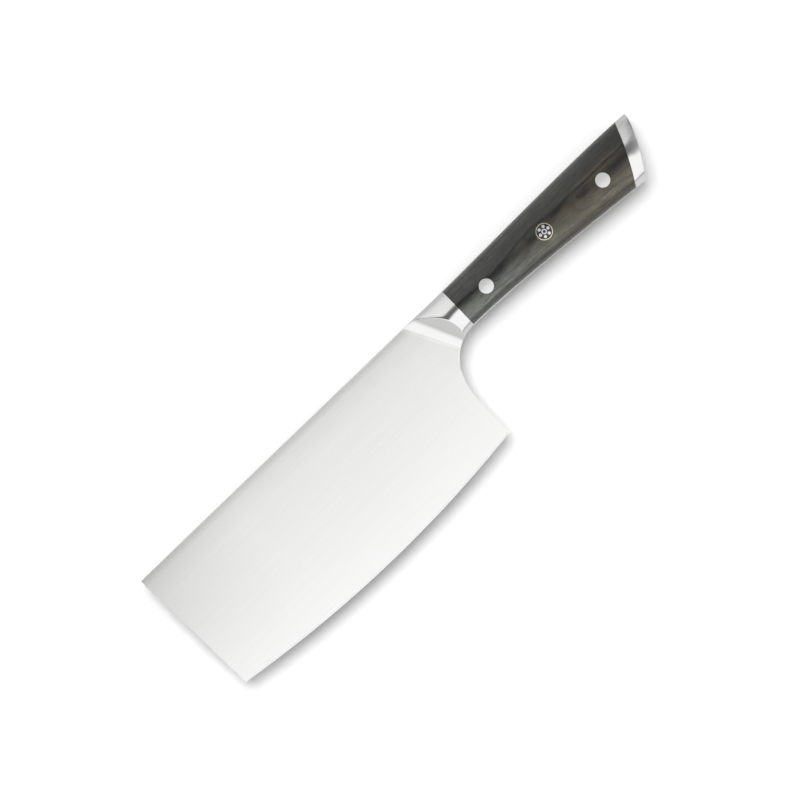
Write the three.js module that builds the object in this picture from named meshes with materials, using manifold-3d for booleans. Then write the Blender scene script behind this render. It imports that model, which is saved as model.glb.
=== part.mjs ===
// A full-tang kitchen cleaver, lying on its right side. X runs from the front edge to the butt, the spine
// faces +Y, the cutting edge faces -Y, and the left face of the blade looks up along +Z.
import * as THREE from 'three';
import { mergeVertices } from 'three/addons/utils/BufferGeometryUtils.js';
import Module from 'manifold-3d';

// Driving dimensions in millimetres, angles in degrees.

// Blade
const BLADE_LENGTH = 169; // front edge to heel, along the spine
const BLADE_THICKNESS = 2.2;
const FRONT_DEPTH = 66.6; // spine to the lower front corner
const FRONT_RAKE = 2.7; // set-back of the lower front corner
const HEEL_DEPTH = 68; // spine to the heel corner
const HEEL_HEIGHT = 19; // straight stretch of the heel
const EDGE_SAG = 5.75; // belly of the cutting edge below its chord
const EDGE_BEVEL_HEIGHT = 0.9; // last bevel, up to the sharp edge
const EDGE_THICKNESS = 0.4; // thickness behind the last bevel
const GRIND_HEIGHT = 40; // convex grind, from the edge to the flat of the blade
const SPINE_EASE = 0.6; // rounding of the spine's corners

// Handle
const BOLSTER_SETBACK = 22.45; // heel to the joint between bolster and wood
const HANDLE_LENGTH = 116.55; // that joint to the upper corner of the butt
const TANG_THICKNESS = 2.5;
const NECK_HEIGHT = 21.25; // handle height at the bolster
const NECK_THICKNESS = 17.2;
const BUTT_HEIGHT = 29.5; // underside below the spine line at the butt
const SWELL_LENGTH = 92.25; // joint to the highest and thickest part of the handle
const SWELL_THICKNESS = 23;
const SWELL_FULLNESS = 2.2; // exponent of the section's curve there: 2 is an ellipse, as at the neck
const BUTT_THICKNESS = 20.6;
const HUMP = 1.25; // rise of the handle's back above the spine line
const HUMP_FALL = 0.5; // fall of the back from there to the butt
const UNDERSIDE_SLOPE = 0.095; // slope of the underside at the butt

// Fullness of the side view's curves: handle lengths as shares of each curve's run or rise
const CHOIL_RISE_PULL = 0.63;
const CHOIL_RUN_PULL = 0.42;
const UNDERSIDE_FRONT_PULL = 0.25;
const UNDERSIDE_BUTT_PULL = 0.42;
const BACK_FRONT_PULL = 0.25;
const BACK_SWELL_PULL = 0.6;
const BACK_EARLY_RISE = 0.1;

// Bolster ramp
const TOE_SETBACK = 26.92; // joint to the toe of the ramp, along the spine
const NECK_RUN = 12.75; // joint to the front end of the cheeks' lower edges, on the choil
const TOE_ANGLE = 28.9; // lean of the toe line from square
const TOE_LENGTH = 29; // toe line, from the spine to the choil
const TOE_RUN = 3.3; // toe line to the cheek's front end, where the ramp is thick enough to start
const RAMP_SLOPE = 45;
const HOLLOW_SPINE = 12.4; // hollow radius between ramp and blade, at the spine
const HOLLOW_CHOIL = 8.8; // the same at the choil

// End cap
const CAP_LENGTH = 6.3; // along the handle's back
const BUTT_RAKE = 15.2; // set-back of the lower corner of the butt
const BUTT_BULGE = 1.35; // bow of the butt in side view
const BUTT_DOME = 0.4; // bow of the butt across its thickness
const JOINT_RAKE = 14.6; // set-back of the lower end of the joint between wood and cap
const JOINT_BULGE = 0.75;

// Rivets and mosaic pin
const RIVET_HEAD = 7;
const RIVET_SLEEVE = 5.2;
const RIVET_SHANK = 3.8;
const RIVET_SEAT = 4.4; // wood under a rivet head
const RIVET_FRONT = 16.25; // joint to the front rivet
const RIVET_REAR = 88.2;
const RIVET_FRONT_DROP = 12.35; // spine line down to the rivet
const RIVET_REAR_DROP = 14.35;
const MOSAIC = 52.6;
const MOSAIC_DROP = 12.75;
const MOSAIC_TUBE = 8;
const MOSAIC_WALL = 0.4;
const MOSAIC_CORE_TUBE = 2.6;
const MOSAIC_CORE_WALL = 0.6;
const MOSAIC_ROD = 1.5;
const MOSAIC_RODS = 6;
const MOSAIC_RING = 4.8; // diameter of the circle of rods

// Clearances
const BOND = 0.1; // film of glue or braze between joined faces
const PIN_GAP = 0.06; // around rivets and pins
const SLEEVE_GAP = 0.5; // end of a rivet's sleeve or shank to the head or floor beyond it

// Fineness of the facets
const EDGE_STEP = 6;
const STATION_STEP = 5;
const NECK_STATION_STEP = 1.6;
const CROWN_SIDES = 16;
const ROUND_SIDES = 28;
const DISC_SIDES = 288;
const CURVE_STEPS = 6;

// Derived places
const JOINT_X = BLADE_LENGTH + BOLSTER_SETBACK;
const BUTT_X = JOINT_X + HANDLE_LENGTH;
const SWELL_X = JOINT_X + SWELL_LENGTH;
const TOE_X = JOINT_X - TOE_SETBACK;
const NECK_X = JOINT_X - NECK_RUN;
const BLADE_HALF = BLADE_THICKNESS / 2;
const TANG_HALF = TANG_THICKNESS / 2;
const SEAT_Z = TANG_HALF + BOND; // inner face of every cheek and scale
const RIVET_SEAT_Z = SEAT_Z + RIVET_SEAT;
const REACH = BUTT_X; // longer than any piece: sizes the cutting tools
const CLEAR = SWELL_THICKNESS; // taller than any piece

const wasm = await Module();
wasm.setup();

// A closed geometry as a solid for cutting and joining. Faces that point in are turned round.
function solid(geometry) {
  const bare = geometry.index ? geometry.toNonIndexed() : geometry.clone();
  bare.deleteAttribute('normal');
  bare.deleteAttribute('uv');
  const merged = mergeVertices(bare, 1e-4);
  const corners = merged.index.array;
  const triangles = [];
  for (let i = 0; i < corners.length; i += 3) {
    const [a, b, c] = corners.slice(i, i + 3);
    if (a !== b && b !== c && a !== c) triangles.push(a, b, c);
  }
  const vertProperties = merged.attributes.position.array;
  if (signedVolume(vertProperties, triangles) < 0) triangles.reverse();
  const triVerts = new Uint32Array(triangles);
  return new wasm.Manifold(new wasm.Mesh({ numProp: 3, vertProperties, triVerts }));
}

function signedVolume(positions, triangles) {
  const corner = (i) => new THREE.Vector3().fromArray(positions, 3 * triangles[i]);
  let volume = 0;
  for (let i = 0; i < triangles.length; i += 3) {
    volume += corner(i).dot(corner(i + 1).cross(corner(i + 2))) / 6;
  }
  return volume;
}

function geometryOf(made) {
  const { vertProperties, triVerts } = made.getMesh();
  const geometry = new THREE.BufferGeometry();
  geometry.setAttribute('position', new THREE.BufferAttribute(vertProperties, 3));
  geometry.setIndex(new THREE.BufferAttribute(triVerts, 1));
  geometry.computeVertexNormals();
  return geometry;
}

// The same solid on the other side of the blade's middle plane.
function mirrored(made) {
  return solid(geometryOf(made).scale(1, 1, -1));
}

function extrusion(points, from, to) {
  const shape = new THREE.Shape(points);
  const options = { depth: to - from, bevelEnabled: false };
  return new THREE.ExtrudeGeometry(shape, options).translate(0, 0, from);
}

function point(x, y) {
  return new THREE.Vector2(x, y);
}

// A profile of radius and height turned about an upright axis at x, y.
function turned(profile, x, y, sides) {
  return new THREE.LatheGeometry(profile, sides).rotateX(Math.PI / 2).translate(x, y, 0);
}

function drum(diameter, from, to, x, y, sides = ROUND_SIDES) {
  const radius = diameter / 2;
  return turned([point(0, from), point(radius, from), point(radius, to), point(0, to)], x, y, sides);
}

function pipe(outer, inner, from, to, x, y) {
  const hole = inner / 2;
  const skin = outer / 2;
  const profile = [point(hole, from), point(skin, from), point(skin, to), point(hole, to)];
  return turned([...profile, profile[0]], x, y, ROUND_SIDES);
}

// Height of a curve whose X only grows, at one X.
function heightAt(curve, x) {
  let low = 0;
  let high = 1;
  for (let i = 0; i < 40; i++) {
    const middle = (low + high) / 2;
    if (curve.getPoint(middle).x < x) low = middle;
    else high = middle;
  }
  return curve.getPoint(low).y;
}

// Centre and radius of the arc from a to b that bows by sag to the right of that direction.
function bowedArc(a, b, sag) {
  const chord = b.clone().sub(a);
  const radius = chord.lengthSq() / (8 * sag) + sag / 2;
  const left = point(-chord.y, chord.x).normalize();
  const centre = a.clone().add(b).divideScalar(2).addScaledVector(left, radius - sag);
  return { centre, radius };
}

// Side view: the lines that the plate, the cheeks, the scales and the caps share.
const heelTop = point(BLADE_LENGTH, HEEL_HEIGHT - HEEL_DEPTH);
const neckBelow = point(JOINT_X, -NECK_HEIGHT);
const choil = new THREE.CubicBezierCurve(
  heelTop,
  point(heelTop.x, THREE.MathUtils.lerp(heelTop.y, neckBelow.y, CHOIL_RISE_PULL)),
  point(THREE.MathUtils.lerp(heelTop.x, neckBelow.x, CHOIL_RUN_PULL), neckBelow.y),
  neckBelow,
);
const buttPull = UNDERSIDE_BUTT_PULL * HANDLE_LENGTH;
const underside = new THREE.CubicBezierCurve(
  neckBelow,
  point(JOINT_X + UNDERSIDE_FRONT_PULL * HANDLE_LENGTH, neckBelow.y),
  point(BUTT_X - buttPull, UNDERSIDE_SLOPE * buttPull - BUTT_HEIGHT),
  point(BUTT_X, -BUTT_HEIGHT),
);
const risingBack = new THREE.CubicBezierCurve(
  point(JOINT_X, 0),
  point(JOINT_X + BACK_FRONT_PULL * SWELL_LENGTH, BACK_EARLY_RISE * HUMP),
  point(JOINT_X + BACK_SWELL_PULL * SWELL_LENGTH, HUMP),
  point(SWELL_X, HUMP),
);
const fallingBack = new THREE.QuadraticBezierCurve(
  point(SWELL_X, HUMP),
  point((SWELL_X + BUTT_X) / 2, HUMP),
  point(BUTT_X, HUMP - HUMP_FALL),
);

function backAt(x) {
  if (x <= JOINT_X) return 0;
  return heightAt(x < SWELL_X ? risingBack : fallingBack, x);
}

function bellyAt(x) {
  if (x < JOINT_X) return heightAt(choil, Math.max(x, NECK_X));
  return heightAt(underside, x);
}

// Share of the swell that is reached at x: 0 up to the joint, 1 from the thickest part on.
function swellAt(x) {
  const share = THREE.MathUtils.clamp((x - JOINT_X) / SWELL_LENGTH, 0, 1);
  return Math.sin((share * Math.PI) / 2);
}

function crownAt(x) {
  const past = Math.max(0, (x - SWELL_X) / (BUTT_X - SWELL_X));
  const fall = (SWELL_THICKNESS - BUTT_THICKNESS) * past * past;
  return (THREE.MathUtils.lerp(NECK_THICKNESS, SWELL_THICKNESS, swellAt(x)) - fall) / 2;
}

function evenly(from, to, step) {
  const count = Math.max(1, Math.round((to - from) / step));
  return Array.from({ length: count }, (_, i) => from + ((to - from) * i) / count);
}

// Where the handle's sections stand. The plate's outline has its corners at the same places.
const toeStations = evenly(TOE_X - 1, NECK_X, NECK_STATION_STEP);
const stations = [
  ...evenly(NECK_X, JOINT_X, NECK_STATION_STEP),
  ...evenly(JOINT_X, SWELL_X, STATION_STEP),
  ...evenly(SWELL_X, BUTT_X, STATION_STEP),
  BUTT_X,
];

// Everything below the left crown of the handle: half-oval sections on a deep block.
function crownGeometry() {
  const rings = [...toeStations, ...stations].map((x) => {
    const middle = (backAt(x) + bellyAt(x)) / 2;
    const halfHeight = (backAt(x) - bellyAt(x)) / 2;
    const rise = crownAt(x) - SEAT_Z;
    const power = 2 / THREE.MathUtils.lerp(2, SWELL_FULLNESS, swellAt(x));
    const ring = [];
    for (let i = 0; i <= CROWN_SIDES; i++) {
      const turn = (Math.PI * i) / CROWN_SIDES;
      const across = Math.cos(turn);
      const y = middle - halfHeight * Math.sign(across) * Math.abs(across) ** power;
      ring.push([x, y, SEAT_Z + rise * Math.sin(turn) ** power]);
    }
    ring.push([x, middle + halfHeight, -CLEAR], [x, middle - halfHeight, -CLEAR]);
    return ring;
  });
  return loft(rings);
}

// Rings of equal length joined in order, with a flat fan at each end.
function loft(rings) {
  const sides = rings[0].length;
  const index = [];
  for (let r = 0; r + 1 < rings.length; r++) {
    for (let i = 0; i < sides; i++) {
      const a = r * sides + i;
      const b = r * sides + ((i + 1) % sides);
      index.push(a, b, a + sides, b, b + sides, a + sides);
    }
  }
  const last = (rings.length - 1) * sides;
  for (let i = 1; i + 1 < sides; i++) {
    index.push(0, i + 1, i, last, last + i, last + i + 1);
  }
  const geometry = new THREE.BufferGeometry();
  geometry.setAttribute('position', new THREE.Float32BufferAttribute(rings.flat(2), 3));
  geometry.setIndex(index);
  return geometry;
}

// Tools that shape several pieces

const leftCrown = solid(crownGeometry());
const handleBody = leftCrown.intersect(mirrored(leftCrown));

const buttArc = bowedArc(point(BUTT_X - BUTT_RAKE, -BUTT_HEIGHT), point(BUTT_X, 0), BUTT_BULGE);
const capTop = point(BUTT_X - CAP_LENGTH, 0);
const jointArc = bowedArc(point(capTop.x - JOINT_RAKE, -BUTT_HEIGHT), capTop, JOINT_BULGE);

// A wide disc whose rim is domed: the butt is a short stretch of that rim.
function buttDisc() {
  const rim = [];
  for (let i = -CURVE_STEPS; i <= CURVE_STEPS; i++) {
    const share = i / CURVE_STEPS;
    rim.push(point(buttArc.radius - BUTT_DOME * share * share, (share * BUTT_THICKNESS) / 2));
  }
  const cap = rim[0].x;
  const profile = [point(0, -CLEAR), point(cap, -CLEAR), ...rim, point(cap, CLEAR), point(0, CLEAR)];
  return solid(turned(profile, buttArc.centre.x, buttArc.centre.y, DISC_SIDES));
}

function jointDisc(inset) {
  const diameter = 2 * (jointArc.radius - inset);
  return solid(drum(diameter, -CLEAR, CLEAR, jointArc.centre.x, jointArc.centre.y, DISC_SIDES));
}

// A shape drawn by the ramp's toe line, set in its place: X is behind that line, Y up, Z down along it.
function atToe(geometry) {
  const lean = THREE.MathUtils.degToRad(TOE_ANGLE);
  const behind = new THREE.Vector3(Math.cos(lean), Math.sin(lean), 0);
  const up = new THREE.Vector3(0, 0, 1);
  const down = new THREE.Vector3().crossVectors(behind, up);
  const placed = new THREE.Matrix4().makeBasis(behind, up, down).setPosition(TOE_X, 0, 0);
  return solid(geometry.applyMatrix4(placed));
}

// Outline of what the ramp leaves free, at one distance down the toe line. The hollow tightens on the way.
function rampOutline(down) {
  const slope = THREE.MathUtils.degToRad(RAMP_SLOPE);
  const radius = THREE.MathUtils.mapLinear(down, 0, TOE_LENGTH, HOLLOW_SPINE, HOLLOW_CHOIL);
  const hollowEnd = radius * Math.sin(slope);
  const heightOver = (run) => BLADE_HALF + radius - Math.sqrt(radius * radius - run * run);
  const outline = [[-REACH, 0, down], [TOE_RUN, 0, down]];
  for (let i = 0; i <= CURVE_STEPS; i++) {
    const run = THREE.MathUtils.lerp(TOE_RUN, hollowEnd, i / CURVE_STEPS);
    outline.push([run, heightOver(run), down]);
  }
  const rampEnd = hollowEnd + (CLEAR - heightOver(hollowEnd)) / Math.tan(slope);
  outline.push([rampEnd, CLEAR, down], [-REACH, CLEAR, down]);
  return outline;
}

// Everything in front of the toe and above the ramp.
function rampTool() {
  return atToe(loft([-TOE_LENGTH, 1.5 * TOE_LENGTH].map(rampOutline)));
}

function slab(fromX, toX, fromZ, toZ) {
  const outline = [point(fromX, -REACH), point(toX, -REACH), point(toX, REACH), point(fromX, REACH)];
  return solid(extrusion(outline, fromZ, toZ));
}

// Places of the fastenings
const frontRivet = point(JOINT_X + RIVET_FRONT, -RIVET_FRONT_DROP);
const rearRivet = point(JOINT_X + RIVET_REAR, -RIVET_REAR_DROP);
const mosaic = point(JOINT_X + MOSAIC, -MOSAIC_DROP);

function bore(place, diameter, from, to) {
  return solid(drum(diameter + 2 * PIN_GAP, from, to, place.x, place.y));
}

// Blade

// Both ground faces in one: a ring turned about the centre of the edge's arc, thinning to its sharp rim.
function groundRing() {
  const frontCorner = point(FRONT_RAKE, -FRONT_DEPTH);
  const { centre, radius } = bowedArc(frontCorner, point(BLADE_LENGTH, -HEEL_DEPTH), EDGE_SAG);
  const edgeHalf = EDGE_THICKNESS / 2;
  const face = [point(centre.y - BLADE_LENGTH / 10, BLADE_HALF)];
  for (let i = CURVE_STEPS; i >= 0; i--) {
    const share = i / CURVE_STEPS;
    const height = THREE.MathUtils.lerp(EDGE_BEVEL_HEIGHT, GRIND_HEIGHT, share);
    const half = THREE.MathUtils.lerp(edgeHalf, BLADE_HALF, 1 - (1 - share) ** 2);
    face.push(point(radius - height, half));
  }
  const back = face.map((p) => point(p.x, -p.y)).reverse();
  const sides = Math.round((2 * Math.PI * radius) / EDGE_STEP);
  return solid(turned([...face, point(radius, 0), ...back, face[0]], centre.x, centre.y, sides));
}

// The blade's section at the spine, a plate with eased upper corners, as far back as the wood.
function easedPlate() {
  const outline = new THREE.Shape();
  outline.moveTo(-BLADE_HALF, -REACH);
  outline.lineTo(BLADE_HALF, -REACH);
  outline.absarc(BLADE_HALF - SPINE_EASE, -SPINE_EASE, SPINE_EASE, 0, Math.PI / 2);
  outline.absarc(SPINE_EASE - BLADE_HALF, -SPINE_EASE, SPINE_EASE, Math.PI / 2, Math.PI);
  const options = { depth: REACH + JOINT_X, bevelEnabled: false, curveSegments: CURVE_STEPS };
  const upright = new THREE.ExtrudeGeometry(outline, options);
  return solid(upright.translate(0, 0, -REACH).rotateY(Math.PI / 2));
}

// Side view of the whole plate. Its lower edge is left deep, for the ground ring to trim.
function plate() {
  const depth = 2 * HEEL_DEPTH;
  const front = point((FRONT_RAKE * depth) / FRONT_DEPTH, -depth);
  const bend = choil.getPoints(4 * CURVE_STEPS).filter((p) => p.x < NECK_X);
  const below = stations.map((x) => point(x, bellyAt(x)));
  const above = stations.map((x) => point(x, backAt(x))).reverse();
  const outline = [point(0, 0), front, point(BLADE_LENGTH, -depth), ...bend, ...below, ...above];
  return solid(extrusion(outline, -TANG_HALF, TANG_HALF));
}

function tangBlock() {
  const profile = [
    point(TOE_RUN, -TANG_HALF),
    point(REACH, -TANG_HALF),
    point(REACH, TANG_HALF),
    point(TOE_RUN, TANG_HALF),
  ];
  return atToe(extrusion(profile, -REACH, REACH));
}

function blade() {
  const ground = groundRing().intersect(easedPlate());
  const tang = tangBlock().intersect(buttDisc());
  return plate()
    .intersect(ground.add(tang))
    .subtract(bore(frontRivet, RIVET_SLEEVE, -CLEAR, CLEAR))
    .subtract(bore(rearRivet, RIVET_SLEEVE, -CLEAR, CLEAR))
    .subtract(bore(mosaic, MOSAIC_TUBE, -CLEAR, CLEAR));
}

// Handle pieces of the left side

function bolster() {
  return leftCrown.intersect(slab(0, JOINT_X, SEAT_Z, CLEAR)).subtract(rampTool());
}

function scale() {
  const blank = leftCrown
    .intersect(slab(JOINT_X + BOND, BUTT_X, SEAT_Z, CLEAR))
    .intersect(jointDisc(BOND))
    .subtract(bore(mosaic, MOSAIC_TUBE, -CLEAR, CLEAR));
  return [frontRivet, rearRivet].reduce(
    (wood, place) => wood
      .subtract(bore(place, RIVET_SLEEVE, -CLEAR, CLEAR))
      .subtract(bore(place, RIVET_HEAD, RIVET_SEAT_Z, CLEAR)),
    blank,
  );
}

function endCap() {
  return leftCrown
    .intersect(slab(JOINT_X, BUTT_X, SEAT_Z, CLEAR))
    .intersect(buttDisc())
    .subtract(jointDisc(0));
}

// Fastenings, ground flush with the crowns on both sides

function flush(geometry) {
  return solid(geometry).intersect(handleBody);
}

const rivetHeadZ = RIVET_SEAT_Z + PIN_GAP; // underside of a head

function rivetStud(place) {
  const head = RIVET_HEAD / 2;
  const shank = RIVET_SHANK / 2;
  const tip = SLEEVE_GAP - RIVET_SEAT_Z;
  const profile = [
    point(0, tip),
    point(shank, tip),
    point(shank, rivetHeadZ),
    point(head, rivetHeadZ),
    point(head, CLEAR),
    point(0, CLEAR),
  ];
  return flush(turned(profile, place.x, place.y, ROUND_SIDES));
}

function rivetSleeve(place) {
  const head = RIVET_HEAD / 2;
  const sleeve = RIVET_SLEEVE / 2;
  const inside = RIVET_SHANK / 2 + PIN_GAP;
  const rim = RIVET_SEAT_Z - SLEEVE_GAP;
  const floor = -RIVET_SEAT_Z;
  const profile = [
    point(0, -CLEAR),
    point(head, -CLEAR),
    point(head, -rivetHeadZ),
    point(sleeve, -rivetHeadZ),
    point(sleeve, rim),
    point(inside, rim),
    point(inside, floor),
    point(0, floor),
  ];
  return flush(turned(profile, place.x, place.y, ROUND_SIDES));
}

const resinDiameter = MOSAIC_TUBE - 2 * MOSAIC_WALL - 2 * PIN_GAP;
const coreInside = MOSAIC_CORE_TUBE - 2 * MOSAIC_CORE_WALL;

function mosaicTube() {
  return flush(pipe(MOSAIC_TUBE, MOSAIC_TUBE - 2 * MOSAIC_WALL, -CLEAR, CLEAR, mosaic.x, mosaic.y));
}

function rodPlaces() {
  return Array.from({ length: MOSAIC_RODS }, (_, i) => {
    const turn = (2 * Math.PI * i) / MOSAIC_RODS;
    return point(MOSAIC_RING / 2, 0).rotateAround(point(0, 0), turn).add(mosaic);
  });
}

function mosaicResin() {
  const core = bore(mosaic, MOSAIC_CORE_TUBE, -CLEAR, CLEAR);
  return rodPlaces().reduce(
    (resin, place) => resin.subtract(bore(place, MOSAIC_ROD, -CLEAR, CLEAR)),
    flush(drum(resinDiameter, -CLEAR, CLEAR, mosaic.x, mosaic.y)).subtract(core),
  );
}

function mosaicCoreTube() {
  return flush(pipe(MOSAIC_CORE_TUBE, coreInside, -CLEAR, CLEAR, mosaic.x, mosaic.y));
}

function mosaicCorePlug() {
  return flush(drum(coreInside - 2 * PIN_GAP, -CLEAR, CLEAR, mosaic.x, mosaic.y));
}

function mosaicRod(place) {
  return flush(drum(MOSAIC_ROD, -CLEAR, CLEAR, place.x, place.y));
}

// Finishes
const finishes = {
  satinSteel: { color: 0xdcdbd8, roughness: 0.38, metalness: 1 },
  polishedSteel: { color: 0xe6e7e6, roughness: 0.12, metalness: 1 },
  darkWood: { color: 0x4d483f, roughness: 0.45, metalness: 0 },
  paleBrass: { color: 0xcfbf93, roughness: 0.25, metalness: 1 },
  blackResin: { color: 0x1c1c1e, roughness: 0.3, metalness: 0 },
};

const knife = new THREE.Group();

function addPiece(name, made, finish) {
  const mesh = new THREE.Mesh(geometryOf(made), new THREE.MeshStandardMaterial(finishes[finish]));
  mesh.name = name;
  knife.add(mesh);
}

function addPair(name, made, finish) {
  addPiece(`${name}_left`, made, finish);
  addPiece(`${name}_right`, mirrored(made), finish);
}

addPiece('blade', blade(), 'satinSteel');
addPair('bolster', bolster(), 'polishedSteel');
addPair('scale', scale(), 'darkWood');
addPair('end_cap', endCap(), 'polishedSteel');
for (const [name, place] of [['rivet_front', frontRivet], ['rivet_rear', rearRivet]]) {
  addPiece(`${name}_stud`, rivetStud(place), 'satinSteel');
  addPiece(`${name}_sleeve`, rivetSleeve(place), 'satinSteel');
}
addPiece('mosaic_tube', mosaicTube(), 'paleBrass');
addPiece('mosaic_resin', mosaicResin(), 'blackResin');
addPiece('mosaic_core_tube', mosaicCoreTube(), 'satinSteel');
addPiece('mosaic_core_plug', mosaicCorePlug(), 'blackResin');
rodPlaces().forEach((place, i) => addPiece(`mosaic_rod_${i + 1}`, mosaicRod(place), 'satinSteel'));

// The origin is the middle of the box's underside.
const box = new THREE.Box3().setFromObject(knife);
const middle = box.getCenter(new THREE.Vector3());
for (const piece of knife.children) piece.position.set(-middle.x, -middle.y, -box.min.z);

export default knife;
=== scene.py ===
"""A full-tang cleaver lying on its right side, seen from straight above on a white table."""
import math

import bmesh
import bpy
import numpy as np
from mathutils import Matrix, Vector


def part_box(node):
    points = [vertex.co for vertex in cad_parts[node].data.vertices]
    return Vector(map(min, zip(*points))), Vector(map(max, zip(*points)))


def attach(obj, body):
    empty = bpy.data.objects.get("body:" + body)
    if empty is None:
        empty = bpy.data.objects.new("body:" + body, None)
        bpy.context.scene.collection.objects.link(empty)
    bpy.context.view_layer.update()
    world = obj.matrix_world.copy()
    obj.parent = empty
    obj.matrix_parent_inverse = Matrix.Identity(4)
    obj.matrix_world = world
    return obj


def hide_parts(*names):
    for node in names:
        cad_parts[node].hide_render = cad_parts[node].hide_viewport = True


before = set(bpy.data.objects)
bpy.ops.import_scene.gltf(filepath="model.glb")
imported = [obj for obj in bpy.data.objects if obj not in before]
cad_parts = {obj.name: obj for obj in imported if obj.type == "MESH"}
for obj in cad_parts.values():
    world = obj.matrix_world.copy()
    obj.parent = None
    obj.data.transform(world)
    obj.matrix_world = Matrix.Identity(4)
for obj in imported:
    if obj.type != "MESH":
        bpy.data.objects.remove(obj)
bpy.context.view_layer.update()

# Sizes in millimetres. X counts from the front edge of the blade, Y from the spine line,
# Z from the middle plane.
HEEL_X = 169.0
HEEL_TOP = -49.0  # upper end of the straight heel
BLADE_HALF = 1.1
CHOIL_EASE = 0.6
END_EASE = 0.15  # corners of the front edge and the heel

# Handle
JOINT_X = 191.45  # bolster to wood
SWELL_X = 283.7
BUTT_X = 308.0
NECK_X = 178.7
NECK_DROP = 21.25
BUTT_DROP = 29.5
HUMP = 1.25
HUMP_FALL = 0.5
NECK_HALF = 8.6
SWELL_HALF = 11.5
SWELL_FULLNESS = 2.2
BUTT_HALF = 10.3
TANG_HALF = 1.25
BOND = 0.1
SEAT = TANG_HALF + BOND

# Pulls of the side view's curves, as shares of their runs
CHOIL_RISE_PULL = 0.63
CHOIL_RUN_PULL = 0.42
UNDERSIDE_FRONT_PULL = 0.25
UNDERSIDE_BUTT_PULL = 0.42
UNDERSIDE_SLOPE = 0.095
BACK_FRONT_PULL = 0.25
BACK_SWELL_PULL = 0.6
BACK_EARLY_RISE = 0.1

# Bolster
TOE_X = 164.53
TOE_LEAN = math.radians(28.9)
TOE_LENGTH = 29.0
TOE_START = 0.25
HOLLOW_SPINE = 12.4
HOLLOW_CHOIL = 8.8
BOLSTER_SINK = 0.3
ROLL_SPAN = 2.2  # reach of the buffed roll before the crest, at the belly
ROLL_GROWTH = 0.4
ROLL_TURN = 0.97
ROLL_TURN_MIN = 0.03
ROLL_TURN_MAX = 0.32
CREST_ROUND = 0.18

# End cap
CAP_LENGTH = 6.3
CAP_RAKE = 14.6
CAP_BULGE = 0.75
CAP_EASE = 0.1
BUTT_RAKE = 15.2
BUTT_BULGE = 1.35
FULL_BULGE = 2.0
FULL_SHIFT = 0.3
BUTT_DOME = 0.4
BUTT_EASE = 0.6
BUTT_DROOP = 0.75
DROOP_LENGTH = 5.0
DROOP_POWER = 1.5
DROOP_FADE = 1.2

# Wood
WOOD_GAP = 0.07
WOOD_INSET_FRONT = 0.38
WOOD_INSET = 0.2
WOOD_EASE = 0.12
ROUND_MIDDLE = 0.29  # share of an eased edge that is left at the middle of its rounding

# Rivets and mosaic pin
FRONT_RIVET = (207.7, -12.35)
REAR_RIVET = (279.65, -14.35)
MOSAIC = (244.05, -12.75)
RIVET_RADIUS = 3.5
SLEEVE_RADIUS = 2.6
SHANK_RADIUS = 1.9
RIVET_SEAT = 5.75
SLEEVE_GAP = 0.5
TUBE_RADIUS = 4.0
TUBE_WALL = 0.4
CORE_RADIUS = 1.3
CORE_WALL = 0.6
ROD_RADIUS = 0.75
ROD_RING = 2.4
RODS = 6
PIN_GAP = 0.05
INLAY_GAP = 0.02
PIN_LIFT = 0.02
PIN_EASE = 0.09
BORE_EASE = 0.03
PIPE_EASE = 0.05

SHARP = math.radians(38)

blade_low, blade_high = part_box("blade")
SHIFT = Vector((
    blade_low.x * 1000,
    blade_high.y * 1000 - HUMP,
    (blade_low.z + blade_high.z) * 500,
))


def to_frame(points):
    return (np.asarray(points, float) + np.array(SHIFT)) / 1000


# Side view


def bezier(*points):
    t = np.linspace(0, 1, 1601)[:, None]
    corners = np.array(points, float)
    n = len(corners) - 1
    return sum(math.comb(n, i) * t**i * (1 - t) ** (n - i) * corners[i] for i in range(n + 1))


def bowed_arc(a, b, sag):
    """Centre and radius of the arc from a to b that bows to the right of that direction."""
    a, b = np.array(a, float), np.array(b, float)
    chord = b - a
    length = np.hypot(*chord)
    radius = length**2 / (8 * sag) + sag / 2
    left = np.array((-chord[1], chord[0])) / length
    return (a + b) / 2 + left * (radius - sag), radius


handle_run = BUTT_X - JOINT_X
swell_run = SWELL_X - JOINT_X
butt_pull = UNDERSIDE_BUTT_PULL * handle_run
choil = bezier(
    (HEEL_X, HEEL_TOP),
    (HEEL_X, HEEL_TOP - CHOIL_RISE_PULL * (HEEL_TOP + NECK_DROP)),
    (HEEL_X + CHOIL_RUN_PULL * (JOINT_X - HEEL_X), -NECK_DROP),
    (JOINT_X, -NECK_DROP),
)
underside = bezier(
    (JOINT_X, -NECK_DROP),
    (JOINT_X + UNDERSIDE_FRONT_PULL * handle_run, -NECK_DROP),
    (BUTT_X - butt_pull, UNDERSIDE_SLOPE * butt_pull - BUTT_DROP),
    (BUTT_X, -BUTT_DROP),
)
rising_back = bezier(
    (JOINT_X, 0),
    (JOINT_X + BACK_FRONT_PULL * swell_run, BACK_EARLY_RISE * HUMP),
    (JOINT_X + BACK_SWELL_PULL * swell_run, HUMP),
    (SWELL_X, HUMP),
)
falling_back = bezier((SWELL_X, HUMP), ((SWELL_X + BUTT_X) / 2, HUMP), (BUTT_X, HUMP - HUMP_FALL))
back_line = np.vstack((rising_back, falling_back[1:]))
belly_line = np.vstack((choil, underside[1:]))
joint_arc = bowed_arc((BUTT_X - CAP_LENGTH - CAP_RAKE, -BUTT_DROP), (BUTT_X - CAP_LENGTH, 0), CAP_BULGE)
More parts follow.
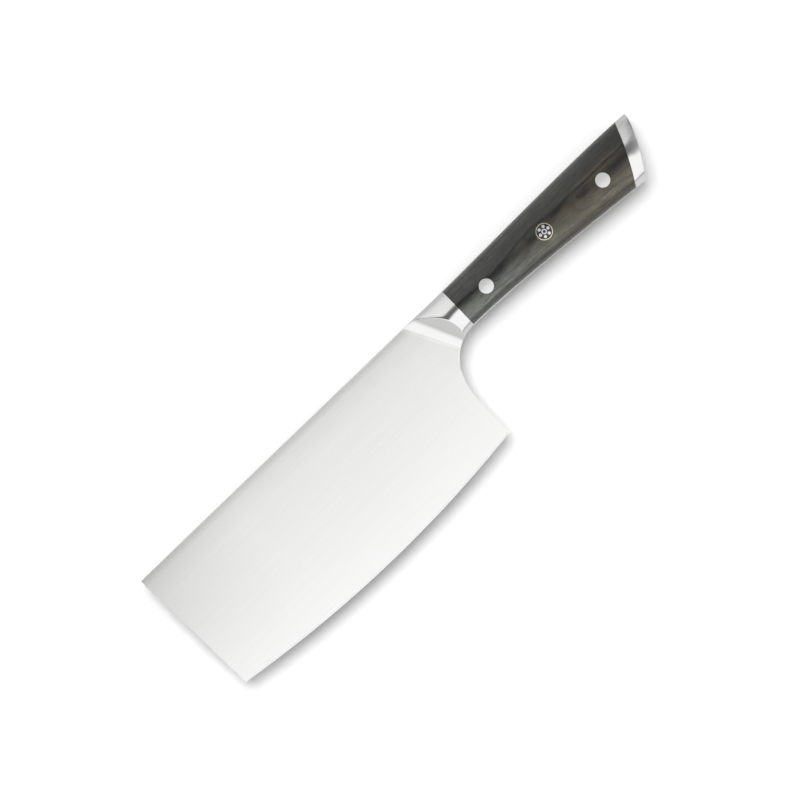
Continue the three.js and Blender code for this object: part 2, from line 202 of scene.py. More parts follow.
# The butt of the plate's solid, and the fuller bow that the finished butt has
butt_arc = bowed_arc((BUTT_X - BUTT_RAKE, -BUTT_DROP), (BUTT_X, 0), BUTT_BULGE)
full_butt_arc = bowed_arc(
    (BUTT_X - BUTT_RAKE + FULL_SHIFT, -BUTT_DROP),
    (BUTT_X + FULL_SHIFT, 0),
    FULL_BULGE,
)


def back_at(x):
    return np.interp(x, back_line[:, 0], back_line[:, 1])


def belly_at(x):
    return np.interp(np.maximum(x, NECK_X), belly_line[:, 0], belly_line[:, 1])


def swell_at(x):
    return np.sin(np.clip((x - JOINT_X) / swell_run, 0, 1) * math.pi / 2)


def crown_at(x):
    past = np.clip((x - SWELL_X) / (BUTT_X - SWELL_X), 0, None)
    return NECK_HALF + (SWELL_HALF - NECK_HALF) * swell_at(x) - (SWELL_HALF - BUTT_HALF) * past**2


def across(x, turn, inset=0):
    """Y of the handle's section at x, at an angle that runs from the belly, 0, to the back, pi."""
    back, belly = back_at(x) - inset, belly_at(x) + inset
    return (back + belly) / 2 - (back - belly) / 2 * np.cos(turn)


def crown_height(x, y, inset=0):
    """Height of the crowned handle above the middle plane."""
    back, belly = back_at(x) - inset, belly_at(x) + inset
    share = np.abs(2 * y - back - belly) / (back - belly)
    power = 2 + (SWELL_FULLNESS - 2) * swell_at(x)
    return SEAT + (crown_at(x) - SEAT) * np.clip(1 - share**power, 0, 1) ** (1 / power)


def arc_x(arc, y):
    (cx, cy), radius = arc
    return cx + np.sqrt(radius**2 - (y - cy) ** 2)


def behind_toe(x, y):
    return (x - TOE_X) * math.cos(TOE_LEAN) + y * math.sin(TOE_LEAN)


def ramp_height(x, y):
    """Height of the hollow ramp between blade and bolster: a fillet that ends in a 45-degree slope."""
    run = np.clip(behind_toe(x, y), 0, None)
    down = (run * math.sin(TOE_LEAN) - y) / math.cos(TOE_LEAN)
    hollow = HOLLOW_SPINE + (HOLLOW_CHOIL - HOLLOW_SPINE) * np.clip(down / TOE_LENGTH, -0.2, 1.5)
    end = hollow * math.sqrt(0.5)
    fillet = hollow - np.sqrt(hollow**2 - np.minimum(run, end) ** 2)
    return BLADE_HALF + fillet + np.maximum(run - end, 0)


def crown_lean(x, y):
    """Slope of the crown towards the back, at the neck."""
    back, belly = back_at(x), belly_at(x)
    share = np.clip((2 * y - back - belly) / (back - belly), -0.99, 0.99)
    return 2 * (crown_at(x) - SEAT) / (back - belly) * share / np.sqrt(1 - share**2)


def soft_lower(a, b, width):
    """The lower of two heights, with a rounding of that width where they cross."""
    h = np.clip(0.5 + 0.5 * (b - a) / width, 0, 1)
    return b + (a - b) * h - width * h * (1 - h)


# Meshes


def smooth(mesh):
    mesh.shade_smooth()
    mesh.set_sharp_from_angle(angle=SHARP)


def link(name, mesh, material, slot, *nodes):
    """Puts a mesh in the scene as a piece that replaces the named nodes."""
    piece = bpy.data.objects.new(name, mesh)
    bpy.context.scene.collection.objects.link(piece)
    mesh.materials.clear()
    mesh.materials.append(material)
    smooth(mesh)
    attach(piece, "root")
    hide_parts(*nodes)
    return piece


def new_mesh(name, points, faces):
    mesh = bpy.data.meshes.new(name)
    mesh.from_pydata([tuple(p) for p in to_frame(points)], [], faces)
    mesh.update()
    return mesh


def mirrored(points, faces):
    return np.asarray(points) * (1, 1, -1), [face[::-1] for face in faces]


def skin(rows):
    """A closed piece from rows of points: a grid over the top, and one face under it on the rows' rim."""
    rows = np.asarray(rows, float)
    count, width = rows.shape[:2]
    index = np.arange(count * width).reshape(count, width)
    faces = []
    for i in range(count - 1):
        for j in range(width - 1):
            faces.append([index[i, j], index[i + 1, j], index[i + 1, j + 1], index[i, j + 1]])
    under = [*index[0], *index[1:, -1], *index[-1, -2::-1], *index[-2:0:-1, 0]]
    faces.append(under)
    return rows.reshape(-1, 3), [[int(i) for i in face] for face in faces]


# Turns of the points across the handle, closer together at the belly and the back
even_turns = np.linspace(0, math.pi, 53)
crowded_turns = (1 - np.cos(even_turns)) / 2 * math.pi
TURNS = np.concatenate(([0], 0.5 * crowded_turns + 0.5 * even_turns, [math.pi]))


def seated(row, floor):
    """The row's first and last points are the foot of its side walls."""
    row[0, 2] = row[-1, 2] = floor
    return row


def across_row(x, height, floor):
    """One row of points: x for each turn, with heights from the given function of x and y."""
    y = across(x, TURNS)
    return seated(np.stack((x, y, height(x, y)), axis=1), floor)


def foot_row(x, floor):
    """One row of points that all lie on the floor."""
    return across_row(x, lambda px, py: np.full(len(px), floor), floor)


def settle_x(line):
    """X of each turn where the handle's surface meets a line of the side view."""
    x = np.full(len(TURNS), JOINT_X)
    for _ in range(12):
        x = line(across(x, TURNS))
    return x


def scale_skin():
    front = np.full(len(TURNS), JOINT_X + WOOD_GAP)
    rear = settle_x(lambda y: arc_x(joint_arc, y)) - WOOD_GAP
    # Each end has a foot, then the start, middle and end of its eased edge.
    middle = WOOD_EASE * ROUND_MIDDLE
    steps = [(0, None), (0, WOOD_EASE), (middle, middle), (WOOD_EASE, 0)]
    rows = []

    def row(x, drop):
        inset = np.interp(x, (JOINT_X + 15, JOINT_X + 50), (WOOD_INSET_FRONT, WOOD_INSET))
        y = across(x, TURNS, inset)
        z = np.full(len(x), TANG_HALF)
        if drop is not None:
            z = np.maximum(crown_height(x, y, inset) - drop, TANG_HALF)
        rows.append(seated(np.stack((x, y, z), axis=1), TANG_HALF))

    for inset, drop in steps:
        row(front + inset, drop)
    for angle in np.linspace(0, math.pi, 150)[1:-1]:
        row(front + WOOD_EASE + (rear - front - 2 * WOOD_EASE) * (1 - math.cos(angle)) / 2, 0)
    for inset, drop in reversed(steps):
        row(rear - inset, drop)
    return skin(rows)


def bolster_skin():
    floor = BLADE_HALF - BOLSTER_SINK
    roll = ROLL_SPAN + ROLL_GROWTH * (1 - np.cos(TURNS))

    def toe_line(y):
        return TOE_X + (TOE_START - y * math.sin(TOE_LEAN)) / math.cos(TOE_LEAN)

    def height(px, py):
        """The crown, buffed over towards the ramp where the two meet in a crest."""
        crown, ramp = crown_height(px, py), ramp_height(px, py)
        lean = crown_lean(px, py)
        turn = ROLL_TURN * lean / np.maximum(lean + math.sin(TOE_LEAN), 0.05)
        turn = np.clip(turn, ROLL_TURN_MIN, ROLL_TURN_MAX)
        ahead = ramp - crown
        near = turn * np.clip(roll - ahead, 0, None) ** 3 / (3 * roll**2)
        past = turn * (roll / 3 - ahead)
        buffed = crown - np.where(ahead > 0, near, past)
        return np.maximum(soft_lower(buffed, ramp, CREST_ROUND), floor)

    front = settle_x(toe_line)
    rear = np.full(len(TURNS), JOINT_X)
    rows = [foot_row(front, floor)]
    for share in np.linspace(0, 1, 130):
        rows.append(across_row(front + (rear - front) * share, height, floor))
    rows.append(foot_row(rear, floor))
    return skin(rows)


def cap_skin():
    front = settle_x(lambda y: arc_x(joint_arc, y))
    butt = np.minimum(settle_x(lambda y: arc_x(full_butt_arc, y)), BUTT_X)

    def dome(z):
        return BUTT_DOME * (z / BUTT_HALF) ** 2

    rows = [foot_row(front, TANG_HALF)]
    for inset, drop in ((0, CAP_EASE), (CAP_EASE, 0)):
        rows.append(across_row(
            front + inset,
            lambda px, py, drop=drop: np.maximum(crown_height(px, py) - drop, TANG_HALF),
            TANG_HALF,
        ))
    edge = butt - dome(crown_height(butt, across(butt, TURNS)))

    def drooped(px, py):
        """The crown, bent down in its last millimetres before the butt."""
        crown = crown_height(px, py)
        share = np.clip(1 - (edge - px) / DROOP_LENGTH, 0, 1)
        return crown - BUTT_DROOP * share**DROOP_POWER * (1 - np.exp((TANG_HALF - crown) / DROOP_FADE))

    bend = math.atan(DROOP_POWER * BUTT_DROOP / DROOP_LENGTH)
    wall = np.maximum(drooped(edge, across(edge, TURNS)) - TANG_HALF, 0.02)
    soft = np.minimum(BUTT_EASE, wall * 0.6)
    start = front + CAP_EASE
    end = edge - soft * (1 - math.sin(bend))
    for share in np.linspace(0, 1, 60)[1:]:
        rows.append(across_row(start + (end - start) * share, drooped, TANG_HALF))

    # The rounding between crown and butt, then the butt's face down to the tang
    top = drooped(end, across(end, TURNS))
    for angle in np.linspace(bend, math.pi / 2, 9)[1:]:
        gone = (math.sin(angle) - math.sin(bend)) / (1 - math.sin(bend))
        x = end + (edge - end) * gone
        y = across(end, TURNS) + (across(edge, TURNS) - across(end, TURNS)) * gone
        z = np.maximum(top - soft * (math.cos(bend) - math.cos(angle)), TANG_HALF)
        rows.append(seated(np.stack((x, y, z), axis=1), TANG_HALF))
    rim = rows[-1].copy()
    for share in np.linspace(0, 1, 14)[1:]:
        z = rim[:, 2] + (TANG_HALF - rim[:, 2]) * share
        x = rim[:, 0] + dome(rim[:, 2]) - dome(z)
        rows.append(seated(np.stack((x, rim[:, 1], z), axis=1), TANG_HALF))
    return skin(rows)


def pair(name, made, material, slot):
    points, faces = made
    link(f"{name}_left_look", new_mesh(name, points, faces), material, slot, f"{name}_left")
    points, faces = mirrored(points, faces)
    link(f"{name}_right_look", new_mesh(name, points, faces), material, slot, f"{name}_right")


def turned(profile, place, sides=80):
    """A closed solid of revolution round an upright axis.

    A profile point is a radius and a function of x and y that gives its height.
    """
    points = []
    rings = []
    angles = np.arange(sides) * 2 * math.pi / sides
    for radius, height in profile:
        if radius == 0:
            rings.append([len(points)])
            points.append((place[0], place[1], float(height(place[0], place[1]))))
            continue
        rings.append(list(range(len(points), len(points) + sides)))
        for angle in angles:
            x = place[0] + radius * math.cos(angle)
            y = place[1] + radius * math.sin(angle)
            points.append((x, y, float(height(x, y))))
    if profile[0][0] > 0:
        rings.append(rings[0])
    faces = []
    for upper, lower in zip(rings, rings[1:]):
        for i in range(sides):
            j = (i + 1) % sides
            if len(upper) == 1:
                faces.append([upper[0], lower[i], lower[j]])
            elif len(lower) == 1:
                faces.append([upper[i], lower[0], upper[j]])
            else:
                faces.append([upper[i], lower[i], lower[j], upper[j]])
    return points, faces


def flush(lift):
    return lambda x, y: crown_height(x, y) + lift


def level(z):
    return lambda x, y: z


def domed_rim(radius, lift, ease):
    """Profile of a face ground flush with the crown: middle, rings, and a softened rim."""
    rings = [(radius * share, flush(lift)) for share in (0, 0.2, 0.4, 0.6, 0.8, 0.92)]
    rings += [
        (radius - ease, flush(lift)),
        (radius - ease * 0.3, flush(lift - ease * 0.3)),
        (radius, flush(lift - ease)),
    ]
    return rings


def below(profile):
    """The same profile on the right side of the handle, in reverse order."""
    flipped = []
    for radius, height in reversed(profile):
        flipped.append((radius, lambda x, y, height=height: -height(x, y)))
    return flipped


def rivet(name, place, material):
    head = domed_rim(RIVET_RADIUS, PIN_LIFT, PIN_EASE)
    tip = SLEEVE_GAP - RIVET_SEAT
    stud = head + [
        (RIVET_RADIUS, level(RIVET_SEAT)),
        (SHANK_RADIUS, level(RIVET_SEAT)),
        (SHANK_RADIUS, level(tip)),
        (0, level(tip)),
    ]
    sleeve = [
        (0, level(-RIVET_SEAT)),
        (SHANK_RADIUS + PIN_GAP, level(-RIVET_SEAT)),
        (SHANK_RADIUS + PIN_GAP, level(-tip)),
        (SLEEVE_RADIUS, level(-tip)),
        (SLEEVE_RADIUS, level(-RIVET_SEAT)),
        (RIVET_RADIUS, level(-RIVET_SEAT)),
        *below(head),
    ]
    for part, profile in (("stud", stud), ("sleeve", sleeve)):
        mesh = new_mesh(f"{name}_{part}", *turned(profile, place))
        link(f"{name}_{part}_look", mesh, material, "satin_steel", f"{name}_{part}")


def pin(name, place, radius, lift, material, slot, sides=64):
    face = domed_rim(radius, lift, min(PIN_EASE, radius * 0.1))
    mesh = new_mesh(name, *turned(face + below(face), place, sides))
    return link(f"{name}_look", mesh, material, slot, name)


def pipe(name, place, outer, wall, material, slot):
    inner = outer - wall
    face = [
        (inner, flush(PIN_LIFT - BORE_EASE)),
        (inner + BORE_EASE, flush(PIN_LIFT)),
        (outer - PIPE_EASE, flush(PIN_LIFT)),
        (outer, flush(PIN_LIFT - PIPE_EASE)),
    ]
    mesh = new_mesh(name, *turned(face + below(face), place))
    link(f"{name}_look", mesh, material, slot, name)


def drilled(piece, holes):
    """Cuts upright round holes through a piece."""
    reach = 40
    for radius, place in holes:
        cylinder = [(0, level(reach)), (radius, level(reach)), (radius, level(-reach)), (0, level(-reach))]
        mesh = new_mesh("cutter", *turned(cylinder, place, 96))
        cutter = bpy.data.objects.new("cutter", mesh)
        bpy.context.scene.collection.objects.link(cutter)
        cut = piece.modifiers.new("hole", "BOOLEAN")
        cut.object = cutter
        cut.operation = "DIFFERENCE"
        cut.solver = "EXACT"
        bpy.context.view_layer.update()
        depsgraph = bpy.context.evaluated_depsgraph_get()
        bored = bpy.data.meshes.new_from_object(piece.evaluated_get(depsgraph))
        piece.modifiers.clear()
        piece.data = bored
        bpy.data.objects.remove(cutter)
    smooth(piece.data)


def rod_places():
    places = []
    for i in range(RODS):
        angle = i * 2 * math.pi / RODS
        places.append((MOSAIC[0] + ROD_RING * math.cos(angle), MOSAIC[1] + ROD_RING * math.sin(angle)))
    return places


def blade_mesh():
    """The plate's solid with its coplanar faces joined, and its corners eased as a cutler leaves them."""
    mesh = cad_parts["blade"].data.copy()
    form = bmesh.new()
    form.from_mesh(mesh)
    bmesh.ops.remove_doubles(form, verts=form.verts, dist=1e-6)
    # The tang's end follows the fuller bow of the butt.
    for vert in form.verts:
        at = vert.co * 1000 - SHIFT
        if at.x > JOINT_X and abs(at.x - arc_x(butt_arc, at.y)) < 0.1:
            vert.co.x += (min(arc_x(full_butt_arc, at.y), BUTT_X) - at.x) / 1000
    bmesh.ops.dissolve_limit(form, angle_limit=math.radians(0.05), verts=form.verts, edges=form.edges)

    rounded = []
    eased = []
    for edge in form.edges:
        if len(edge.link_faces) != 2 or edge.calc_face_angle() < math.radians(50):
            continue
        middle = (edge.verts[0].co + edge.verts[1].co) * 500 - SHIFT
        if abs(abs(middle.z) - BLADE_HALF) > 0.02:
            continue
        below_bolster = HEEL_TOP - 0.5 < middle.y < -15 and behind_toe(middle.x, middle.y) < 1
        at_heel = HEEL_X - 1 < middle.x < HEEL_X + 0.5
        if middle.x > HEEL_X - 0.1 and below_bolster:
            rounded.append(edge)
        elif -66 < middle.y < -1 and (middle.x < 4 or at_heel):
            eased.append(edge)
    bmesh.ops.bevel(
        form, geom=rounded, offset=CHOIL_EASE / 1000, segments=5, profile=0.5, affect="EDGES",
    )
    eased = [edge for edge in eased if edge.is_valid]
    bmesh.ops.bevel(form, geom=eased, offset=END_EASE / 1000, segments=2, profile=0.5, affect="EDGES")
    form.to_mesh(mesh)
    form.free()
    return mesh


# Materials


def greys(*stops):
    return [(position, (value, value, value)) for position, value in stops]


class Shader:
    """A node material with one principled shader."""

    def __init__(self, name):
        self.material = bpy.data.materials.new(name)
        self.material.use_nodes = True
        self.tree = self.material.node_tree
        self.surface = self.tree.nodes["Principled BSDF"]

    def add(self, kind, inputs=None, **settings):
        made = self.tree.nodes.new("ShaderNode" + kind)
        for key, value in settings.items():
            setattr(made, key, value)
        for key, value in (inputs or {}).items():
            self.feed(made.inputs[key], value)
        return made

    def feed(self, socket, value):
        if isinstance(value, bpy.types.NodeSocket):
            self.tree.links.new(value, socket)
        else:
            socket.default_value = value

    def finish(self, **inputs):
        for key, value in inputs.items():
            self.feed(self.surface.inputs[key.replace("_", " ")], value)
        return self.material

    def place(self, scale):
        """The point in the object's frame, in metres, stretched by a scale for each axis."""
        coordinates = self.add("TexCoord")
        stretched = self.add("VectorMath", operation="MULTIPLY")
        self.feed(stretched.inputs[0], coordinates.outputs["Object"])
        self.feed(stretched.inputs[1], scale)
        return stretched.outputs["Vector"]

    def axes(self):
        """Millimetres along the knife, down from the spine line, and out from the middle plane."""
        place = self.add("SeparateXYZ", {"Vector": self.place((1000, 1000, 1000))})
        x = self.math("SUBTRACT", place.outputs["X"], SHIFT.x)
        fall = self.math("SUBTRACT", SHIFT.y, place.outputs["Y"])
        depth = self.math("ABSOLUTE", self.math("SUBTRACT", place.outputs["Z"], SHIFT.z))
        return x, fall, depth

    def noise(self, vector, scale=1.0, detail=2.0, roughness=0.5):
        made = self.add("TexNoise", {
            "Vector": vector, "Scale": scale, "Detail": detail, "Roughness": roughness,
        })
        return made.outputs["Fac"]

    def math(self, operation, a, b=0.0):
        made = self.add("Math", operation=operation)
        self.feed(made.inputs[0], a)
        self.feed(made.inputs[1], b)
        return made.outputs["Value"]

    def squares(self, a, b):
        """The sum of two squares."""
        return self.math("ADD", self.math("MULTIPLY", a, a), self.math("MULTIPLY", b, b))

    def span(self, value, low, high, new_low, new_high):
        made = self.add("MapRange", {
            "Value": value, "From Min": low, "From Max": high, "To Min": new_low, "To Max": new_high,
        })
        return made.outputs["Result"]

    def ramp(self, value, stops):
        made = self.add("ValToRGB", {"Fac": value})
        elements = made.color_ramp.elements
        while len(elements) < len(stops):
            elements.new(0.5)
        for element, (position, color) in zip(elements, stops):
            element.position = position
            element.color = (*color, 1)
        return made.outputs["Color"]

    def mix(self, share, a, b, blend="MIX"):
        made = self.add("Mix", data_type="RGBA", blend_type=blend)
        self.feed(made.inputs["Factor"], share)
        self.feed(made.inputs[6], a)
        self.feed(made.inputs[7], b)
        return made.outputs[2]

    def times(self, a, b):
        return self.mix(1.0, a, b, "MULTIPLY")

    def bell(self, off):
        """One in the middle, falling off with the square of a distance."""
        return self.math("EXPONENT", self.math("MULTIPLY", off, -1.0))

    def spot(self, x, fall, middle_x, middle_fall, long, high, strength):
        """A soft oval of that strength."""
        off_x = self.math("DIVIDE", self.math("SUBTRACT", x, middle_x), long)
        off_y = self.math("DIVIDE", self.math("SUBTRACT", fall, middle_fall), high)
        return self.math("MULTIPLY", self.bell(self.squares(off_x, off_y)), strength)

    def bump(self, height, strength, distance):
        made = self.add("Bump", {"Height": height, "Strength": strength, "Distance": distance})
        return made.outputs["Normal"]


GROOVE_TONE = (0.55, 0.548, 0.54, 1)
WHETTED_TONE = (0.73, 0.73, 0.725, 1)
LOW_ANGLE_TINT = (0.2, 0.2, 0.2, 1)
HEARTWOOD_BROWN = (0.098, 0.076, 0.048, 1)
STAIN_BLACK = (0.0045, 0.0048, 0.005, 1)


def ground_tone_and_painted_sheen(s, fall):
    """Tone of the ground face, brighter from the spine to the cutting edge: partly the finish, ground coarser
    and darker near the spine, and partly painted light, the brighter reflection towards the edge.
    """
    return s.ramp(s.span(fall, 0, 70, 0, 1), [
        (0.012, (0.66, 0.658, 0.65)),
        (0.06, (0.843, 0.841, 0.833)),
        (0.2, (0.92, 0.918, 0.911)),
        (0.5, (0.966, 0.965, 0.96)),
        (1.0, (0.993, 0.993, 0.989)),
    ])


def satin_steel():
    s = Shader("satin_steel")
    lines = s.noise(s.place((45, 5200, 5200)), detail=3, roughness=0.6)
    long_lines = s.noise(s.place((12, 1500, 1500)), detail=2)
    cloud = s.noise(s.place((18, 18, 18)), detail=2)
    grain = s.math("ADD", s.math("MULTIPLY", lines, 0.7), s.math("MULTIPLY", long_lines, 0.3))
    x, fall, _ = s.axes()
    # Painted light: the tone brightens from the spine to the cutting edge, on top of the finish.
    worked_and_painted_sheen = ground_tone_and_painted_sheen(s, fall)
    # Painted shade: the blade darkens towards its front edge, most near the spine.
    front_shade = s.span(x, 0, 54, 0.84, 1)
    shaded = s.mix(s.span(fall, 2, 70, 1, 0.1), worked_and_painted_sheen, s.times(worked_and_painted_sheen, front_shade))
    color = s.mix(s.span(grain, 0.3, 0.7, 0, 0.12), shaded, GROOVE_TONE)
    # The cutting bevel is the part of the blade that slopes most
    slope = s.add("SeparateXYZ", {"Vector": s.add("NewGeometry").outputs["Normal"]}).outputs["Y"]
    before_heel = s.span(x, HEEL_X - 0.7, HEEL_X - 0.2, 1, 0)
    whetted = s.math("MULTIPLY", s.span(slope, -0.12, -0.06, 1, 0), before_heel)
    edged = s.mix(whetted, color, WHETTED_TONE)
    rough = s.math("ADD", s.span(grain, 0.3, 0.7, 0.44, 0.54), s.span(cloud, 0.3, 0.7, -0.015, 0.015))
    return s.finish(
        Base_Color=edged, Metallic=1.0, Roughness=rough, Specular_Tint=LOW_ANGLE_TINT,
        Normal=s.bump(grain, 0.1, 0.00002),
    )


def fine_satin():
    s = Shader("fine_satin")
    lines = s.noise(s.place((260, 9000, 260)), detail=2)
    color = s.ramp(lines, [(0.3, (0.605, 0.607, 0.602)), (0.7, (0.675, 0.677, 0.672))])
    return s.finish(
        Base_Color=color, Metallic=1.0, Roughness=s.span(lines, 0.3, 0.7, 0.4, 0.52),
        Normal=s.bump(lines, 0.1, 0.00001),
    )


def polished_steel():
    s = Shader("polished_steel")
    haze = s.noise(s.place((60, 60, 60)), detail=3)
    hairs = s.noise(s.place((90, 7000, 7000)), detail=2)
    buffed = s.math("ADD", s.span(haze, 0.3, 0.7, 0.09, 0.12), s.span(hairs, 0.4, 0.7, -0.01, 0.02))
    x, fall, _ = s.axes()
    # Behind the toe line the ground face of the blade runs into the polish
    along = s.math("MULTIPLY", s.math("SUBTRACT", x, TOE_X), math.cos(TOE_LEAN))
    run = s.math("SUBTRACT", along, s.math("MULTIPLY", fall, math.sin(TOE_LEAN)))
    rough = s.math("ADD", buffed, s.span(run, 1.0, 2.8, 0.33, 0))
    mirror = s.ramp(hairs, [(0.3, (0.588, 0.588, 0.585)), (0.7, (0.618, 0.618, 0.615))])
    # The toe takes the blade's tone, with its painted light from spine to edge.
    toe = s.mix(0.06, ground_tone_and_painted_sheen(s, fall), GROOVE_TONE)
    color = s.mix(s.span(run, 0.6, 2.6, 1, 0), mirror, toe)
    return s.finish(
        Base_Color=color, Metallic=1.0, Roughness=rough,
        Normal=s.bump(haze, 0.03, 0.00005),
    )


def wood_tone_and_painted_sheen(s, x, share, warp):
    """Tone from the back to the belly, lighter in front; the lighter lower half is a painted reflection of
    the bright side, and the dim lower rim is painted shade.
    """
    strayed = s.math("ADD", share, s.span(warp, 0.3, 0.7, -0.06, 0.06))
    # Painted reflection: darkest across the middle, lighter towards the belly, which faces the bright side.
    ground = s.ramp(strayed, greys(
        (0, 0.062), (0.1, 0.048), (0.36, 0.043), (0.5, 0.046),
        (0.6, 0.076), (0.69, 0.12), (0.8, 0.165), (1, 0.175),
    ))
    upper = s.span(share, 0.55, 0.75, 1, 0)
    front = s.math("MULTIPLY", s.span(x, 197, 230, 1, 0), s.span(upper, 0, 1, 0.62, 0.42))
    lift = s.math("ADD", front, s.math("MULTIPLY", s.span(x, 262, 290, 0, -0.35), upper))
    # Painted shade along the lower rim.
    painted_rim_shade = s.ramp(share, greys((0.85, 1), (0.905, 0.5), (0.95, 0.38), (1, 0.45)))
    return s.times(ground, s.math("MULTIPLY", s.math("ADD", lift, 1), painted_rim_shade))


def wood_layer(s, x, fall, depth, warp):
    """Growth layers, cut at a low angle by the crown and bent round three knots."""
    drift = s.noise(s.place((8, 30, 30)), detail=2)
    wander = s.math("ADD", s.math("MULTIPLY", warp, 3.2), s.math("MULTIPLY", drift, 3.0))
    layer = s.math("ADD", s.math("MULTIPLY", depth, 0.56), wander)
    for knot in ((222, 11, 15, 4, 1.3), (253, 12, 19, 5, -1.2), (282, 13.5, 17, 5, 2.4)):
        layer = s.math("ADD", layer, s.spot(x, fall, *knot))
    return layer


def wood_figure(s, x, fall, share, layer):
    """Light and dark bands of the growth layers, calmer in front and towards the belly."""
    along = s.math("MULTIPLY", x, 0.009)
    down = s.math("MULTIPLY", fall, 0.045)
    layered = s.add("CombineXYZ", {"X": along, "Y": down, "Z": layer}).outputs["Vector"]
    rings = s.noise(layered, scale=1.15, detail=4, roughness=0.6)
    bands = s.ramp(rings, greys((0.36, 0.58), (0.46, 0.88), (0.54, 1.1), (0.66, 1.45)))
    calm = s.math("ADD", s.span(share, 0.45, 0.7, 0.25, 0.6), s.span(x, 197, 240, 0.4, 0))
    return s.mix(calm, bands, (1, 1, 1, 1))


def spots(s, x, fall, places):
    """The sum of several soft ovals."""
    total = s.spot(x, fall, *places[0])
    for place in places[1:]:
        total = s.math("ADD", total, s.spot(x, fall, *place))
    return total


def mineral_stain(s, x, fall, length, cloud):
    """Share of black stain: a line along the crest, crisp above, and flecks beside the pins."""
    line = s.ramp(length, greys(
        (0, 0.092), (0.11, 0.093), (0.2, 0.096), (0.29, 0.084), (0.42, 0.071),
        (0.55, 0.089), (0.69, 0.084), (0.84, 0.086), (1, 0.088),
    ))
    off_line = s.math("SUBTRACT", fall, s.math("MULTIPLY", line, 100))
    above = s.math("DIVIDE", s.math("MINIMUM", off_line, 0.0), 0.3)
    under = s.math("DIVIDE", s.math("MAXIMUM", off_line, 0.0), 0.9)
    crest = s.math("MULTIPLY", s.bell(s.squares(above, under)), s.span(cloud, 0.38, 0.58, 0.45, 1))
    flecks = spots(s, x, fall, (
        (197, 10.4, 9, 1.5, 0.7), (217, 11, 9, 1.9, 0.95), (237, 11.4, 5, 1.7, 0.85),
        (254.5, 9.7, 7, 1.5, 0.9), (268.7, 12.6, 3.5, 1.8, 0.85), (274, 10.7, 5, 0.5, 0.6),
        (274.5, 15.4, 4, 0.5, 0.4), (290.5, 13.4, 8, 2, 0.85),
    ))
    return s.math("MINIMUM", s.math("ADD", crest, flecks), 0.95)


def dark_wood():
    s = Shader("dark_wood")
    x, fall, depth = s.axes()
    warp = s.noise(s.place((24, 55, 55)), detail=4, roughness=0.6)
    cloud = s.noise(s.place((130, 260, 260)), detail=5, roughness=0.7)
    fibres = s.noise(s.place((55, 1500, 1500)), detail=3, roughness=0.65)
    pores = s.noise(s.place((190, 4200, 4200)), detail=1)

    # Share of the way from the back to the belly
    length = s.span(x, JOINT_X, BUTT_X, 0, 1)
    belly = s.ramp(length, greys(
        (0, 0.208), (0.12, 0.209), (0.31, 0.221), (0.54, 0.24), (0.69, 0.257), (1, 0.293),
    ))
    share = s.math("DIVIDE", fall, s.math("MULTIPLY", belly, 100))

    layer = wood_layer(s, x, fall, depth, warp)
    banded = s.times(wood_tone_and_painted_sheen(s, x, share, warp), wood_figure(s, x, fall, share, layer))
    figured = s.times(banded, s.ramp(cloud, greys((0.32, 0.8), (0.5, 1), (0.68, 1.24))))
    rear = s.math("MULTIPLY", s.span(x, 218, 264, 0, 1), s.span(share, 0.24, 0.42, 0.2, 1))
    tinted = s.times(figured, s.mix(rear, (0.95, 1, 0.88, 1), (1.1, 1, 0.76, 1)))

    # Brown heartwood round the rear rivet and beside the mosaic pin, then black stain
    bent_x = s.math("ADD", x, s.span(cloud, 0.3, 0.7, -4, 4))
    ragged = s.math("ADD", s.span(warp, 0.3, 0.7, -0.7, 0.7), s.span(fibres, 0.3, 0.7, -0.25, 0.25))
    bent_fall = s.math("ADD", fall, ragged)
    brown = spots(s, bent_x, bent_fall, (
        (232, 11, 4, 3, 0.45), (262.5, 16, 9, 5, 0.65), (282, 7.9, 17, 0.55, 0.6), (283, 10.2, 10, 1.3, 0.55),
    ))
    browned = s.mix(brown, tinted, HEARTWOOD_BROWN)
    stained = s.mix(mineral_stain(s, bent_x, bent_fall, length, cloud), browned, STAIN_BLACK)

    # Lines between the growth layers, fibres and pores
    edge_line = s.math("PINGPONG", s.math("MULTIPLY", layer, 0.9), 0.5)
    ringed = s.mix(s.span(edge_line, 0, 0.13, 0.35, 0), stained, (0.007, 0.0066, 0.0055, 1))
    streaked = s.mix(s.span(fibres, 0.35, 0.68, 0.33, 0.08), ringed, (0.01, 0.0095, 0.008, 1))
    pored = s.mix(s.span(pores, 0.62, 0.7, 0, 0.6), streaked, (0.006, 0.0055, 0.005, 1))
    rough = s.math("ADD", s.span(fibres, 0.3, 0.7, 0.3, 0.42), s.span(pores, 0.6, 0.7, 0, 0.15))
    relief = s.math("SUBTRACT", s.math("MULTIPLY", fibres, 0.5), s.span(pores, 0.6, 0.7, 0, 0.6))
    return s.finish(
        Base_Color=pored, Roughness=rough, IOR=1.42,
        Normal=s.bump(relief, 0.2, 0.00005),
    )


def pale_brass():
    s = Shader("pale_brass")
    hairs = s.noise(s.place((1500, 9000, 1500)), detail=2)
    color = s.ramp(hairs, [(0.3, (0.6, 0.53, 0.38)), (0.7, (0.7, 0.63, 0.47))])
    return s.finish(Base_Color=color, Metallic=1.0, Roughness=s.span(hairs, 0.3, 0.7, 0.28, 0.4))


def black_resin():
    s = Shader("black_resin")
    specks = s.noise(s.place((2600, 2600, 2600)), detail=2)
    color = s.ramp(specks, [(0.35, (0.012, 0.012, 0.014)), (0.75, (0.03, 0.03, 0.035))])
    return s.finish(Base_Color=color, Roughness=s.span(specks, 0.3, 0.7, 0.3, 0.4))


satin = satin_steel()
bright_satin = fine_satin()
polished = polished_steel()
wood = dark_wood()
brass = pale_brass()
resin = black_resin()

# Pieces

blade = link("blade_look", blade_mesh(), satin, "satin_steel", "blade")
weights = blade.modifiers.new("even_normals", "WEIGHTED_NORMAL")
weights.keep_sharp = True

